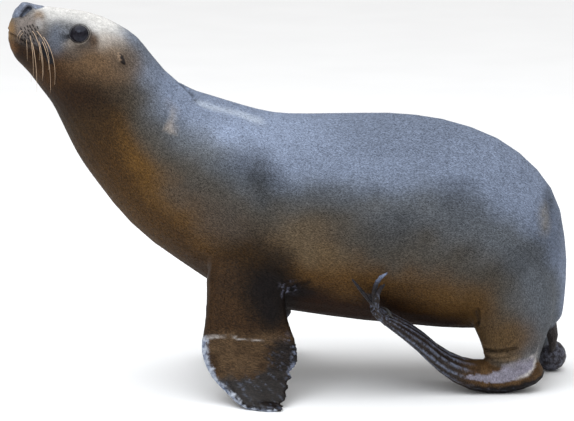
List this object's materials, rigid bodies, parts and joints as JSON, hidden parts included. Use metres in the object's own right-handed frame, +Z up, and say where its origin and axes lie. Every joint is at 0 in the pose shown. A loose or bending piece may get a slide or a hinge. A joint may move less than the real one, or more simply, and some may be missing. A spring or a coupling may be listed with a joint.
{
  "type": "sea lion",
  "caption": "Life-size still model of a young South American sea lion standing on its flippers, head raised and turned slightly to its left.",
  "frame": {"origin": "middle of the animal's bounding box in plan, on the floor under its feet", "axes": "+Z up; -X is the way the animal faces, so +X runs from nose to rump; -Y is the animal's left side"},
  "size_m": [1.0292, 0.5432, 0.7072],
  "materials": {
    "short_fur": "short flat fur, slate grey above and brown below, soft sheen",
    "bare_skin": "bare dark grey skin, slightly wet",
    "eye": "very dark and glossy",
    "claw": "dark horn, satin"
  },
  "bodies": {
    "root": {"claw_left_1": "claw", "claw_left_2": "claw", "claw_left_3": "claw", "claw_right_1": "claw", "claw_right_2": "claw", "claw_right_3": "claw", "ear_left": "bare_skin", "ear_right": "bare_skin", "eye_left": "eye", "eye_right": "eye", "fore_flipper_arm_left": "short_fur", "fore_flipper_arm_right": "short_fur", "fore_flipper_hand_left": "short_fur", "fore_flipper_hand_right": "short_fur", "head": "short_fur", "hind_flipper_left": "short_fur", "hind_flipper_right": "short_fur", "hind_leg_left": "short_fur", "hind_leg_right": "short_fur", "lower_jaw": "short_fur", "neck": "short_fur", "nose": "bare_skin", "tail": "short_fur", "trunk": "short_fur"}
  },
  "joints": []
}
